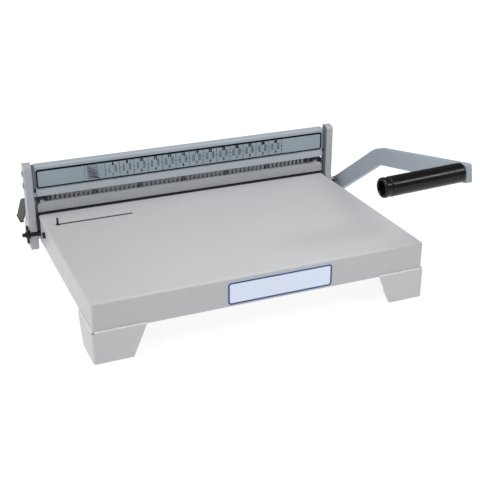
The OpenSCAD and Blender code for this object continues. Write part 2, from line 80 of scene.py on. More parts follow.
def fillet(points, step=12.0):
    """Outline from (x, y, radius) corners, counter-clockwise."""
    out, n = [], len(points)
    for i in range(n):
        p = Vector(points[i][:2])
        r = points[i][2] if len(points[i]) > 2 else 0.0
        v0, v1 = Vector(points[i - 1][:2]) - p, Vector(points[(i + 1) % n][:2]) - p
        if r <= 0 or v0.length < 1e-6 or v1.length < 1e-6:
            out.append((p.x, p.y))
            continue
        ang = v0.angle(v1)
        if ang > math.radians(178):
            out.append((p.x, p.y))
            continue
        t = min(r / math.tan(ang / 2), 0.49 * min(v0.length, v1.length))
        r = t * math.tan(ang / 2)
        v0.normalize()
        v1.normalize()
        s, e = p + v0 * t, p + v1 * t
        c = p + (v0 + v1).normalized() * (r / math.sin(ang / 2))
        a0, a1 = math.atan2(s.y - c.y, s.x - c.x), math.atan2(e.y - c.y, e.x - c.x)
        d = (a1 - a0 + math.pi) % (2 * math.pi) - math.pi
        k = max(2, int(math.ceil(abs(math.degrees(d)) / step)))
        out += [(c.x + r * math.cos(a0 + d * j / k), c.y + r * math.sin(a0 + d * j / k)) for j in range(k + 1)]
    return out


def rrect(x0, x1, z0, z1, r):
    return fillet([(x0, z0, r), (x1, z0, r), (x1, z1, r), (x0, z1, r)])


def inset(poly, d):
    """Counter-clockwise outline moved inwards by d."""
    out, n = [], len(poly)
    for i in range(n):
        a, p, b = Vector(poly[i - 1]), Vector(poly[i]), Vector(poly[(i + 1) % n])
        e0, e1 = (p - a).normalized(), (b - p).normalized()
        n0, n1 = Vector((-e0.y, e0.x)), Vector((-e1.y, e1.x))
        k = max(1 + n0.dot(n1), 0.35)
        q = p + (n0 + n1) * (d / k)
        out.append((q.x, q.y))
    return out


# ------------------------------------------------------------------ mesh building
class Build:
    def __init__(self):
        self.v, self.f, self.m = [], [], []

    def add(self, pts):
        i = len(self.v)
        self.v += [tuple(p) for p in pts]
        return list(range(i, i + len(pts)))

    def face(self, ids, mat=0):
        self.f.append(tuple(ids))
        self.m.append(mat)

    def bridge(self, a, b, mat=0):
        n = len(a)
        for i in range(n):
            self.face((a[i], a[(i + 1) % n], b[(i + 1) % n], b[i]), mat)

    def cap(self, rings, coords, mat=0):
        """Fills between the outer ring and the hole rings. coords are the rings' 2D points."""
        flat = [i for r in rings for i in r]
        tris = geometry.tessellate_polygon([[Vector((c[0], c[1], 0)) for c in loop] for loop in coords])
        for t in tris:
            self.face([flat[i] for i in t], mat)

    def plate(self, outline, plane, lo, hi, bevel=0.5, holes=(), seg=3, to=P, mat=0):
        """Prism with rounded rims. holes are outlines, or (centre, [(w, r), ...]) for a turned hole."""
        axes = {"yz": lambda u, v, w: to(w, u, v), "xz": lambda u, v, w: to(u, w, v), "xy": lambda u, v, w: to(u, v, w)}[plane]
        loops = []
        for k, src in enumerate([outline] + list(holes)):
            sign = 1 if k == 0 else -1
            rings = []
            if k and isinstance(src[1], list):
                (cy, cz), prof = src
                for w, r in prof:
                    pts = circle(cy, cz, r, 40)
                    rings.append((w, pts))
            else:
                b = bevel if k == 0 else min(bevel, 0.3)
                steps = []
                for j in range(seg + 1):
                    a = math.radians(90 * j / seg)
                    steps.append((b * (1 - math.sin(a)), b * (1 - math.cos(a))))
                for ins, dw in steps:
                    rings.append((lo + dw, inset(src, sign * ins) if ins > 1e-9 else src))
                for ins, dw in reversed(steps):
                    rings.append((hi - dw, inset(src, sign * ins) if ins > 1e-9 else src))
            ids = [self.add([axes(u, v, w) for u, v in pts]) for w, pts in rings]
            for a, b2 in zip(ids, ids[1:]):
                self.bridge(a, b2, mat)
            loops.append((ids, rings))
        for end in (0, -1):
            self.cap([l[0][end] for l in loops], [l[1][end][1] for l in loops], mat)
        return self

    def loft(self, rings, closed=False, mat=0):
        ids = [self.add(r) for r in rings]
        for a, b in zip(ids, ids[1:]):
            self.bridge(a, b, mat)
        if closed:
            self.bridge(ids[-1], ids[0], mat)
        else:
            self.face(ids[0], mat)
            self.face(ids[-1][::-1], mat)
        return self

    def lathe(self, axis, c, prof, n=72, closed=False, to=P, mat=0, wobble=None):
        """Turned shape. prof is [(radius, along), ...]; c is the axis's two other coordinates."""
        rings = []
        for r, w in prof:
            ring = []
            for i in range(n):
                a = 2 * math.pi * i / n
                rr = r if wobble is None else wobble(r, w, a)
                u, v = c[0] + rr * math.cos(a), c[1] + rr * math.sin(a)
                ring.append(to(w, u, v) if axis == "x" else (to(u, w, v) if axis == "y" else to(u, v, w)))
            rings.append(ring)
        return self.loft(rings, closed, mat)

    def tube(self, path, r, n=10, mat=0):
        """Round bar along a path of metres."""
        rings, prev = [], None
        for i, p in enumerate(path):
            t = (path[min(i + 1, len(path) - 1)] - path[max(i - 1, 0)]).normalized()
            if prev is None:
                u = t.orthogonal().normalized()
            else:
                u = (prev - t * prev.dot(t)).normalized()
            prev = u
            v = t.cross(u)
            rings.append([p + (u * math.cos(2 * math.pi * k / n) + v * math.sin(2 * math.pi * k / n)) * r for k in range(n)])
        return self.loft(rings, mat=mat)

    def obj(self, name, body, slot, mats, replaces=(), sharp=34.0, weighted=True):
        mesh = bpy.data.meshes.new(name)
        mesh.from_pydata(self.v, [], self.f)
        mesh.materials.clear()
        for m in (mats if isinstance(mats, (list, tuple)) else [mats]):
            mesh.materials.append(m)
        mesh.polygons.foreach_set("material_index", self.m)
        bm = bmesh.new()
        bm.from_mesh(mesh)
        bmesh.ops.remove_doubles(bm, verts=bm.verts, dist=1e-7)
        bmesh.ops.dissolve_degenerate(bm, dist=1e-7, edges=bm.edges)
        bmesh.ops.recalc_face_normals(bm, faces=bm.faces)
        bm.to_mesh(mesh)
        bm.free()
        mesh.polygons.foreach_set("use_smooth", [True] * len(mesh.polygons))
        mesh.set_sharp_from_angle(angle=math.radians(sharp))
        o = bpy.data.objects.new(name, mesh)
        bpy.context.scene.collection.objects.link(o)
        if weighted:
            m = o.modifiers.new("normals", "WEIGHTED_NORMAL")
            m.keep_sharp = True
            m.weight = 60
        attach(o, body)
        if replaces:
            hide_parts(*replaces)
        return o


# ------------------------------------------------------------------ materials
def lin(c):
    return tuple(((x / 255.0) / 12.92 if x / 255.0 <= 0.04045 else ((x / 255.0 + 0.055) / 1.055) ** 2.4) for x in c)


def shade(c, k):
    return tuple(min(1.0, x * k) for x in c) + (1.0,)


class Mat:
    """A node material with helpers for layered noise in metres."""

    def __init__(self, name):
        self.m = bpy.data.materials.new(name)
        self.m.use_nodes = True
        self.t = self.m.node_tree
        self.bsdf = next(n for n in self.t.nodes if n.type == "BSDF_PRINCIPLED")
        self.coord = self.t.nodes.new("ShaderNodeTexCoord").outputs["Object"]

    def set(self, **kw):
        for k, v in kw.items():
            self.bsdf.inputs[k.replace("_", " ")].default_value = v
        return self

    def link(self, a, b):
        self.t.links.new(a, b)
        return self

    def mapped(self, scale, rot=(0, 0, 0)):
        n = self.t.nodes.new("ShaderNodeMapping")
        n.inputs["Scale"].default_value = scale
        n.inputs["Rotation"].default_value = rot
        self.link(self.coord, n.inputs["Vector"])
        return n.outputs["Vector"]

    def noise(self, scale, detail=3.0, rough=0.5, vec=None, dist=0.0):
        n = self.t.nodes.new("ShaderNodeTexNoise")
        n.inputs["Scale"].default_value = scale
        n.inputs["Detail"].default_value = detail
        n.inputs["Roughness"].default_value = rough
        n.inputs["Distortion"].default_value = dist
        self.link(vec or self.coord, n.inputs["Vector"])
        return n.outputs["Fac"]

    def voronoi(self, scale, vec=None, feature="F1"):
        n = self.t.nodes.new("ShaderNodeTexVoronoi")
        n.feature = feature
        n.inputs["Scale"].default_value = scale
        self.link(vec or self.coord, n.inputs["Vector"])
        return n.outputs["Distance"]

    def ramp(self, fac, stops):
        n = self.t.nodes.new("ShaderNodeValToRGB")
        e = n.color_ramp.elements
        while len(e) > 1:
            e.remove(e[-1])
        e[0].position, e[0].color = stops[0]
        for pos, col in stops[1:]:
            x = e.new(pos)
            x.color = col
        self.link(fac, n.inputs["Fac"])
        return n.outputs["Color"]

    def range(self, fac, a, b, lo=0.3, hi=0.7):
        n = self.t.nodes.new("ShaderNodeMapRange")
        n.inputs["From Min"].default_value = lo
        n.inputs["From Max"].default_value = hi
        n.inputs["To Min"].default_value = a
        n.inputs["To Max"].default_value = b
        self.link(fac, n.inputs["Value"])
        return n.outputs["Result"]

    def mix(self, fac, a, b, kind="MIX"):
        n = self.t.nodes.new("ShaderNodeMix")
        n.data_type = "RGBA"
        n.blend_type = kind
        ins = {s.identifier: s for s in n.inputs}
        for key, val in (("Factor_Float", fac), ("A_Color", a), ("B_Color", b)):
            if hasattr(val, "is_linked"):
                self.link(val, ins[key])
            else:
                ins[key].default_value = val
        return next(s for s in n.outputs if s.identifier == "Result_Color")

    def math(self, op, a, b=0.0, c=0.0):
        n = self.t.nodes.new("ShaderNodeMath")
        n.operation = op
        for i, val in enumerate((a, b, c)):
            if hasattr(val, "is_linked"):
                self.link(val, n.inputs[i])
            else:
                n.inputs[i].default_value = val
        return n.outputs[0]

    def bump(self, height, strength, distance, normal=None):
        n = self.t.nodes.new("ShaderNodeBump")
        n.inputs["Strength"].default_value = strength
        n.inputs["Distance"].default_value = distance
        self.link(height, n.inputs["Height"])
        if normal is not None:
            self.link(normal, n.inputs["Normal"])
        return n.outputs["Normal"]

    def out(self, color=None, rough=None, normal=None):
        if color is not None:
            self.link(color, self.bsdf.inputs["Base Color"])
        if rough is not None:
            self.link(rough, self.bsdf.inputs["Roughness"])
        if normal is not None:
            self.link(normal, self.bsdf.inputs["Normal"])
        return self.m


def powder(name, rgb, rough=0.46, var=0.02, peel=0.10, grain=900.0, spec=0.42, scuff=True, slot_shade=False, lit_edge_above=None):
    """Powder coat: fine orange peel, faint mottling and a few light handling marks.
    the slot flag paints shade: it darkens the walls inside the side stop slot of the table;
    the edge height gives a painted highlight: above it the paint is lightened, standing in for light on the top edge
    of a folded foot."""
    m = Mat(name)
    base = lin(rgb)
    cloud = m.noise(7.0, 3.0, 0.55)
    speck = m.noise(grain * 1.7, 2.0, 0.6)
    col = m.mix(m.range(cloud, 0.0, 1.0, 0.32, 0.68), shade(base, 1 - var), shade(base, 1 + var))
    col = m.mix(m.range(speck, 0.0, 0.35, 0.35, 0.75), col, shade(base, 0.90))
    rgh = m.range(m.noise(60.0, 4.0, 0.6), rough - 0.05, rough + 0.06)
    if scuff:
        streak = m.noise(14.0, 5.0, 0.75, m.mapped((1.0, 26.0, 9.0), (0.0, 0.0, 0.35)))
        mark = m.range(streak, 0.0, 0.5, 0.66, 0.80)
        col = m.mix(mark, col, shade(base, 1.05))
        rgh = m.math("ADD", rgh, m.math("MULTIPLY", mark, 0.12))
    if slot_shade:
        # painted shade: the walls inside the side stop slot are darkened to a near black grey
        lo, hi = P(13.8, 228.1, -1.6), P(117.2, 232.5, -0.08)
        sep = m.t.nodes.new("ShaderNodeSeparateXYZ")
        m.link(m.coord, sep.inputs[0])
        inside = None
        for axis in range(3):
            for op, lim in (("GREATER_THAN", lo[axis]), ("LESS_THAN", hi[axis])):
                t = m.math(op, sep.outputs[axis], lim)
                inside = t if inside is None else m.math("MULTIPLY", inside, t)
        col = m.mix(inside, col, shade(lin((64, 63, 60)), 1.0))
    if lit_edge_above is not None:
        # painted highlight: above the given height the paint is lightened, standing in for light catching the foot's
        # top edge
        sep = m.t.nodes.new("ShaderNodeSeparateXYZ")
        m.link(m.coord, sep.inputs[0])
        edge = m.math("ADD", sep.outputs[2], m.math("MULTIPLY", m.noise(300.0, 2.0, 0.5), 0.0002))
        col = m.mix(m.math("GREATER_THAN", edge, P(0, 0, lit_edge_above)[2]), col, shade(base, 1.34))
    h = m.math("ADD", m.noise(grain, 2.0, 0.5), m.math("MULTIPLY", m.noise(grain * 0.28, 2.0, 0.5), 0.8))
    m.set(Specular_IOR_Level=spec)
    return m.out(col, rgh, m.bump(h, peel, 0.0004))


def steel(name, rgb, rough=0.34, metallic=1.0, dirs=(1.0, 60.0, 60.0), scale=28.0, var=0.10, bump=0.12, spec=0.5, blotch=0.06):
    """Ground or drawn steel: fine streaks in one direction and patches of dulling."""
    m = Mat(name)
    base = lin(rgb)
    v = m.mapped(dirs)
    fine = m.noise(scale, 5.0, 0.7, v)
    wide = m.noise(scale * 0.35, 3.0, 0.6, v)
    patch = m.noise(22.0, 3.0, 0.6)
    col = m.ramp(m.math("ADD", m.math("MULTIPLY", fine, 0.65), m.math("MULTIPLY", wide, 0.35)),
                 [(0.30, shade(base, 1 - var)), (0.5, shade(base, 1.0)), (0.70, shade(base, 1 + var))])
    col = m.mix(m.range(patch, 0.0, 1.0, 0.45, 0.75), col, m.mix(0.5, col, shade(base, 1 - blotch * 2), "MIX"))
    rgh = m.range(fine, rough - 0.07, rough + 0.09)
    m.set(Metallic=metallic, Specular_IOR_Level=spec)
    return m.out(col, rgh, m.bump(fine, bump, 0.0003))


def plated(name, rgb, rough=0.3, metallic=1.0, var=0.08, scale=420.0, bump=0.05):
    """Plated or blackened small hardware: cloudy tone, fine grain."""
    m = Mat(name)
    base = lin(rgb)
    cloud = m.noise(95.0, 3.0, 0.6)
    grain = m.noise(scale, 3.0, 0.6)
    col = m.ramp(cloud, [(0.3, shade(base, 1 - var)), (0.5, shade(base, 1.0)), (0.72, shade(base, 1 + var))])
    rgh = m.range(m.math("ADD", m.math("MULTIPLY", cloud, 0.6), m.math("MULTIPLY", grain, 0.4)), rough - 0.08, rough + 0.1)
    m.set(Metallic=metallic)
    return m.out(col, rgh, m.bump(grain, bump, 0.0003))


def polymer(name, rgb, rough=0.3, var=0.12, scale=650.0, bump=0.12, coat=0.0, spec=0.5):
    """Moulded plastic or rubber with a fine grain and worn patches."""
    m = Mat(name)
    base = lin(rgb)
    rub = m.noise(38.0, 4.0, 0.6)
    grain = m.noise(scale, 3.0, 0.6)
    col = m.ramp(rub, [(0.3, shade(base, 1 - var)), (0.55, shade(base, 1.0)), (0.78, shade(base, 1 + var * 2))])
    rgh = m.range(rub, rough - 0.04, rough + 0.08)
    m.set(Specular_IOR_Level=spec, Coat_Weight=coat, Coat_Roughness=0.12)
    return m.out(col, rgh, m.bump(grain, bump, 0.0003))


def printed(name, rgb, var=0.02, rough=0.36, spec=0.4):
    """Ink or film on a label: paper-fine tone changes under a satin laminate."""
    m = Mat(name)
    base = lin(rgb)
    cloud = m.noise(24.0, 3.0, 0.5)
    fibre = m.noise(1500.0, 2.0, 0.5)
    col = m.mix(m.range(cloud, 0.0, 1.0), shade(base, 1 - var), shade(base, 1 + var))
    col = m.mix(m.range(fibre, 0.0, 0.25, 0.4, 0.7), col, shade(base, 0.93))
    rgh = m.range(cloud, rough - 0.03, rough + 0.04)
    m.set(Specular_IOR_Level=spec)
    return m.out(col, rgh, m.bump(fibre, 0.04, 0.0002))


M = {
    "table": powder("table_powder_coat", (185, 186, 188), rough=0.40, slot_shade=True),
    "foot": powder("foot_powder_coat", (194, 194, 196), lit_edge_above=-35.15),
    "post": powder("post_powder_coat", (172, 176, 181), rough=0.42, grain=1100.0),
    "rail": powder("rail_enamel", (172, 180, 188), rough=0.38, grain=1200.0, peel=0.08),
    # painted light: a lighter copy of the rail enamel, standing in for light on the beam front that the top bar shades
    "beam": powder("beam_enamel_painted_light", (184, 193, 200), rough=0.38, grain=1200.0, peel=0.08),
    "arm": powder("lever_enamel", (149, 158, 167), rough=0.42, grain=1000.0, peel=0.08),
    # painted shade: the end spacers are a dark bluish grey standing in for the shade of the recessed strip beside the
    # posts
    "spacer": plated("spacer_painted_shade", (118, 122, 134), rough=0.5, metallic=0.3, var=0.10),
    # painted light: the beam skirt is near white so the shaded gaps between the punches read lighter
    "skirt": plated("beam_skirt_painted_light", (232, 233, 236), rough=0.6, metallic=0.0, var=0.05),
    # painted shade: a darker grey for the posts' inner faces, standing in for the shade on them
    "post_inner": plated("post_inner_painted_shade", (116, 119, 123), rough=0.55, metallic=0.2, var=0.08),
    "post_screw": plated("post_screw_zinc", (150, 154, 159), rough=0.45, metallic=0.5),
    "slot": plated("slot_phosphate", (40, 42, 48), rough=0.6, metallic=0.3, var=0.12),
    "bar": steel("guide_bar_steel", (183, 186, 191), rough=0.55, metallic=0.15, dirs=(1.0, 40.0, 40.0), scale=36.0, var=0.14, bump=0.2),
    "die": steel("die_bar_steel", (120, 120, 124), rough=0.42, metallic=0.9),
    "punch": steel("punch_steel", (150, 150, 156), rough=0.45, metallic=0.5, dirs=(60.0, 60.0, 1.5), scale=40.0),
    "leg": steel("leg_plated_steel", (58, 58, 56), rough=0.6, metallic=0.15, spec=0.25, dirs=(40.0, 1.0, 40.0), scale=18.0, var=0.08),
    "zinc": plated("zinc_plate", (200, 202, 206), rough=0.28),
    "black": plated("black_oxide", (30, 32, 34), rough=0.42, metallic=0.6, var=0.2),
    "bronze": plated("sintered_bronze", (150, 116, 70), rough=0.42, scale=900.0, bump=0.2),
    "rubber": polymer("foot_rubber", (36, 36, 37), rough=0.72, bump=0.25, scale=900.0),
    "grip": polymer("grip_vinyl", (13, 12, 11), rough=0.25, var=0.16, scale=800.0, bump=0.02, spec=0.27),
    "stop": polymer("stop_moulding", (30, 31, 33), rough=0.4, bump=0.2, scale=900.0),
    "tray": powder("tray_powder_coat", (96, 100, 106), rough=0.5, grain=800.0, peel=0.14),
    "under": powder("stiffener_galvanised", (150, 153, 156), rough=0.45, grain=160.0, var=0.06),
    "shaft": steel("shaft_ground_steel", (170, 170, 172), rough=0.26, metallic=1.0, dirs=(60.0, 2.0, 2.0), scale=20.0, var=0.05, bump=0.05),
    "spring": steel("spring_wire", (120, 120, 124), rough=0.3, metallic=1.0, dirs=(20.0, 20.0, 20.0), scale=40.0, var=0.1),
    "chart": printed("chart_film", (153, 168, 176)),
    "ink": printed("chart_ink_black", (12, 18, 24), var=0.08, rough=0.5, spec=0.1),
    "ink_tint": printed("chart_ink_tint", (136, 142, 158), var=0.05, rough=0.36, spec=0.3),
    "ink_mid": printed("chart_ink_mauve", (104, 106, 122), var=0.05, rough=0.38, spec=0.3),
    "ink_soft": printed("chart_ink_grey", (58, 70, 80), var=0.05, rough=0.4, spec=0.2),
    "badge": printed("badge_margin_film", (186, 194, 214)),
    "badge_fill": printed("badge_face_film", (218, 228, 247)),
    "badge_line": printed("badge_ink_blue", (56, 76, 128), var=0.05, spec=0.2),
}


def finish_node(node, mat):
    for s in NODES[node].material_slots:
        s.material = M[mat]


for node, mat in {
    "table_tray": "table", "table_stiffener": "under", "front_foot_pads": "rubber", "shaft_bushes": "bronze",
    "end_spacers": "spacer", "guide_bar": "bar", "slot_spacer": "slot", "die_bar": "die", "guide_bolts": "zinc",
    "frame_screws": "post_screw", "rear_leg_pads": "rubber", "leg_screws": "zinc", "tray_hangers": "under",
    "clamp_brackets": "under", "clamp_studs": "black", "stud_nuts": "black", "clamp_washers": "black", "clamp_pads": "rubber",
    "bracket_screws": "black", "punches": "punch", "guide_pins": "punch", "pull_screws": "zinc",
    "eccentric_shaft": "shaft", "shaft_collars": "shaft", "lever_hub": "shaft", "lever_nuts": "zinc",
    "grip_rod": "shaft", "stop_pin": "stop", "front_foot_left": "foot", "front_foot_right": "foot", "front_badge": "badge", "post_left": "post", "post_right": "post",
    "top_bar": "rail", "chart_plate": "chart", "return_springs": "spring", "rear_leg_left": "leg", "rear_leg_right": "leg",
    "wing_nut_left": "black", "wing_nut_right": "black", "punch_beam": "rail", "pull_plate_left": "die", "pull_plate_right": "die",
    "lever_arm": "arm", "grip_sleeve": "grip", "stop_knob": "stop", "chip_tray": "tray",
}.items():
    finish_node(node, mat)

# ------------------------------------------------------------------ end posts
notch = arc(STUD_Y, STUD_Z, 3.0, 90, -90, 15)
post = [(265, -46, 1.5), (276, -46, 2.0)]
post += [(y, z, 0) for y, z in arc(AY, AZ, 13.5, -97, 47.6, 6)]
post += [(282, 6, 7.0), (282, 71, 1.6), (268, 71, 6.0), (268, -2, 8.0), (265, -16, 8.0), (265, -20.5, 0.5)]
post += [(y, z, 0) for y, z in notch] + [(265, -26.5, 0.5)]
post_holes = [
    ((AY, AZ), [(-14.0, 9.75), (-13.7, 9.5), (-3.8, 9.5), (-3.5, 9.75)]),
    ((277.5, 57.6), [(-14.0, 2.1), (-3.5, 2.1)]),
    ((277.5, 41.0), [(-14.0, 2.1), (-3.5, 2.1)]),
    ((279.0, -5.2), [(-14.0, 4.6), (-11.5, 2.55), (-3.5, 2.55)]),
]
for side, to in (("left", P), ("right", right)):
    o = Build().plate(fillet(post, 8), "yz", -14.0, -3.5, 0.9, post_holes, to=to).obj("end_post_" + side, "frame", "post_paint", [M["post"], M["post_inner"]], ["post_" + side])
    # painted shade: the faces towards the bars get a darker grey standing in for the shade on them
    for f in o.data.polygons:
        if abs(f.center.x - to(-3.5, 0, 0)[0]) < 0.0003:
            f.material_index = 1

# ------------------------------------------------------------------ fixed top bar and moving beam
Build().plate(fillet([(275, 34.8, 0.8), (287, 34.8, 0.8), (287, 66.5, 1.2), (275, 66.5, 2.0)], 10), "yz", 1, XE, 0.7).obj(
    "fixed_top_bar", "frame", "rail_paint", M["rail"], ["top_bar"])
beam = Build().plate(fillet([(275, 24, 0.7), (291, 24, 0.4), (291, 19.5, 0.6), (300, 19.5, 0.8), (300, 58, 1.0), (289, 58, 1.0),
                             (289, 34.5, 0.4), (276.4, 34.5, 0.5), (275, 32.7, 0.6)], 12), "yz", 1, XE, 0.6)
for x0, x1 in ((-3.1, 1.6), (XE - 0.6, 423.1)):
    beam.plate(fillet([(276, 24, 0.5), (289.5, 24, 0.5), (289.5, 29.8, 0.5), (276, 29.8, 0.5)], 30), "yz", x0, x1, 0.4)
beam.plate(fillet([(297, 11, 0.8), (300, 11, 0.8), (300, 20, 0.2), (297, 20, 0.2)], 20), "yz", 6.5, 413.5, 0.4, mat=1)
beam.obj("moving_punch_beam", "punch_group", "rail_paint", [M["beam"], M["skirt"]], ["punch_beam"])

# ------------------------------------------------------------------ return springs
PITCH, PN = 6.35, 60
PN = int(math.floor((W - 34) / PITCH))
PX_START = W / 2 - (PN - 1) * PITCH / 2


def on_pitch(x):
    return PX_START + PITCH * math.floor((x - PX_START) / PITCH + 0.5)


PIN_X = [17.0] + [on_pitch(77 + i * (W - 97) / 5) for i in range(5)] + [W - 19.0]
coils = Build()
for px in PIN_X:
    z0, z1, r, R, turns, m = 15.1, 24.0, 0.45, 2.55, 3.5, 28
    n = int(turns * m)
    pts = []
    for i in range(n + 1):
        t = i / n
        # dead coils at both ends
        s = t * t * (3 - 2 * t) * 0.55 + t * 0.45
        a = 2 * math.pi * i / m
        pts.append(P(px + R * math.cos(a), 281 + R * math.sin(a), z0 + r + (z1 - z0 - 2 * r) * s))
    coils.tube(pts, r / 1000, 10)
spring = coils.obj("return_spring_coils", "frame", "punch_steel", M["spring"], ["return_springs"], weighted=False)
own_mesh(spring)

# ------------------------------------------------------------------ lever arm and grip
h, bend_r = 11.5, 65.0
A, B, T = Vector((AY, AZ)), Vector((171.5, 52.8)), Vector((-29.1, 94.9))
d1, d2 = (B - A).normalized(), (T - B).normalized()
n1, n2 = Vector((d1.y, -d1.x)), Vector((d2.y, -d2.x))
mm = (n1 + n2).normalized()
k = h / mm.dot(n1)
a1, a2 = math.degrees(math.atan2(n1.y, n1.x)), math.degrees(math.atan2(n2.y, n2.x))
bend_c = B + mm * (k - bend_r / math.cos(math.radians((a2 - a1) / 2)))
top, low, inner = T + n2 * h, T - n2 * h, B - mm * k
eye = math.degrees(math.acos(h / 13.0))
arm = [(y, z, 0) for y, z in arc(AY, AZ, 13.0, a1 + 180 - eye, a1 + 360 + eye, 6)]
arm += [(y, z, 0) for y, z in arc(bend_c.x, bend_c.y, bend_r, a1, a2, 2.4)]
arm += [(top.x, top.y, 3.0), (low.x, low.y, 2.2), (inner.x, inner.y, 3.0)]
Build().plate(fillet(arm, 10), "yz", ARM_X, ARM_X + ARM_T, 0.9, [
    ((AY, AZ), [(ARM_X, 6.05), (ARM_X + ARM_T, 6.05)]),
    ((GY, GZ), [(ARM_X, 3.55), (ARM_X + ARM_T, 3.55)]),
]).obj("lever_flat_arm", "lever", "lever_paint", M["arm"], ["lever_arm"])

GL = 108.5
GX0 = ARM_X - 0.9 - GL
prof = [(6.06, 16), (8.4, 16), (8.4, 1.6), (8.55, 0.8), (9.0, 0.25), (9.6, 0.0), (10.3, 0.05), (11.1, 0.35), (11.65, 0.9), (11.92, 1.7), (12.0, 2.6),
        (12.0, 4.2), (11.92, 4.8), (11.6, 5.3), (11.45, 5.9), (11.45, 8.6), (11.6, 9.3), (11.9, 9.8), (12.0, 10.6)]
prof += [(12.0, 10.6 + (GL - 13.2) * i / 12) for i in range(1, 13)]
prof += [(11.92, GL - 1.7), (11.7, GL - 1.0), (11.3, GL - 0.4), (10.7, GL - 0.08), (10.0, GL), (6.06, GL)]
Build().lathe("x", (GY, GZ), [(r, GX0 + w) for r, w in prof], 96, True, to=droop).obj("grip_tube", "grip", "grip_black", M["grip"], ["grip_sleeve"])

# ------------------------------------------------------------------ front feet
def foot(side, to):
    b = Build()
    zb, zt, rc = FLOOR + 1.6, -34.2, 3.2
    flat = 61.0 - 1.2            # end of the front wall measured from the corner's arc
    half = rc * math.pi / 4      # half of the corner arc's length

    def at(s, q, z):
        """Point at s along the folded sheet from its corner and q inwards from its outer face."""
        if abs(s) <= half:
            a = math.radians(225) + (s / half) * math.radians(45)
            r = rc - q
            return to(1.2 + r * math.cos(a), 1.2 + r * math.sin(a), z)
        e = abs(s) - half
        return to(1.2 + e, -2 + q, z) if s > 0 else to(-2 + q, 1.2 + e, z)

    def section(s, q0, q1, zl, zh, rr=0.45, crown=0.0):
        """Cut across the sheet; crown rounds the outer top edge over and lays its inner one on the lip."""
        rr = min(rr, (q1 - q0) / 2.2, max((zh - zl) / 2.2, 0.02))
        ro, ri = (min(crown, max((zh - zl) / 1.6, 0.02)), 0.02) if crown else (rr, rr)
        pts = []
        for cq, cz, a0, r in ((q0 + rr, zl + rr, 180, rr), (q1 - rr, zl + rr, 270, rr), (q1 - ri, zh - ri, 0, ri), (q0 + ro, zh - ro, 90, ro)):
            for j in range(3):
                a = math.radians(a0 + 45 * j)
                pts.append((cq + r * math.cos(a), cz + r * math.sin(a)))
        return [at(s, q, z) for q, z in pts]

    s_low, s_top = half + 44.5 - 1.2, half + flat
    rn = 1.9                     # relief notch at the folded corner

    def limits(s, top=zt):
        a = abs(s)
        zl = zb if a <= s_low else zb + (a - s_low) / (s_top - s_low) * (-36 - zb)
        zh = top
        if a < rn and top == zt:
            zh = -35.6 - math.sqrt(max(rn * rn - a * a, 0))
        return zl, min(zh, top)

    cols = [-s_top, -s_top + 0.3, -s_top + 1] + [-s_top + 1 + (s_top - 1 - s_low) * i / 6 for i in range(1, 7)]
    cols += [-s_low + (s_low - half) * i / 8 for i in range(1, 9)]
    mid = [-rn + 2 * rn * i / 12 for i in range(13)]
    cols += [c for c in mid]
    cols += [-c for c in reversed(cols) if c < -rn]
    cols = sorted(set(round(c, 5) for c in cols))
    rings = []
    for c in cols:
        zl, zh = limits(c)
        if abs(abs(c) - rn) < 1e-4:
            pair = [section(c, 0, 2, zl, zt, 0.45, 1.2), section(c, 0, 2, zl, -35.6, 0.45, 1.2)]
            rings += pair if c < 0 else pair[::-1]
        else:
            rings.append(section(c, 0, 2, zl, zh, 0.45, 1.2))
    b.loft(rings)
    # inner tabs that hook behind the lip, front and side, with the corner left open
    for sgn in (1, -1):
        tabs = []
        s0, s1 = half + 4.0, half + 50.0
        for i in range(9):
            c = s0 + (s1 - s0) * i / 8
            zl = zb if c <= s_low else zb + (c - s_low) / (s_top - s_low) * (-36 - zb)
            tabs.append(section(sgn * c, 2.02, 3.5, zl, -36.02, 0.3))
        b.loft(tabs)
        b.loft([section(sgn * (s0 + (s1 - s0) * i / 8), 3.52, 5.0, -60, -20, 0.3) for i in range(9)])
    # sole flanges folded inwards, with the pads under them
    b.plate(fillet([(4, 3.0, 0.4), (38.5, 3.0, 0.4), (38.5, 16, 3), (4, 16, 3)], 20), "xy", zb + 0.02, zb + 1.8, 0.3, to=to)
    b.plate(fillet([(3.0, 16.2, 0.4), (16, 16.2, 0.4), (16, 38.5, 3), (3.0, 38.5, 0.4)], 20), "xy", zb + 0.02, zb + 1.8, 0.3, to=to)
    b.obj("front_foot_fold_" + side, "frame", "table_paint", M["foot"], ["front_foot_" + side])


foot("left", P)
foot("right", right)

# ------------------------------------------------------------------ rear legs and chip tray
leg = fillet([(290, -9, 0.6), (300, -9, 6), (336, -13.5, 30), (374.9, -28.7, 30), (435.6, -74.3, 2), (465.8, -74.3, 3), (417.3, -30.8, 26),
              (308.4, 14, 10), (290, 14, 0.6)], 8)
for side, to in (("left", P), ("right", right)):
    b = Build().plate(leg, "yz", 1.5, 5.5, 0.6, to=to)
    b.plate(rrect(2.0, 30, -9, 14, 2.5), "xz", 290, 294, 0.5, to=to)
    b.obj("rear_leg_bent_" + side, "frame", "leg_steel", M["leg"], ["rear_leg_" + side])

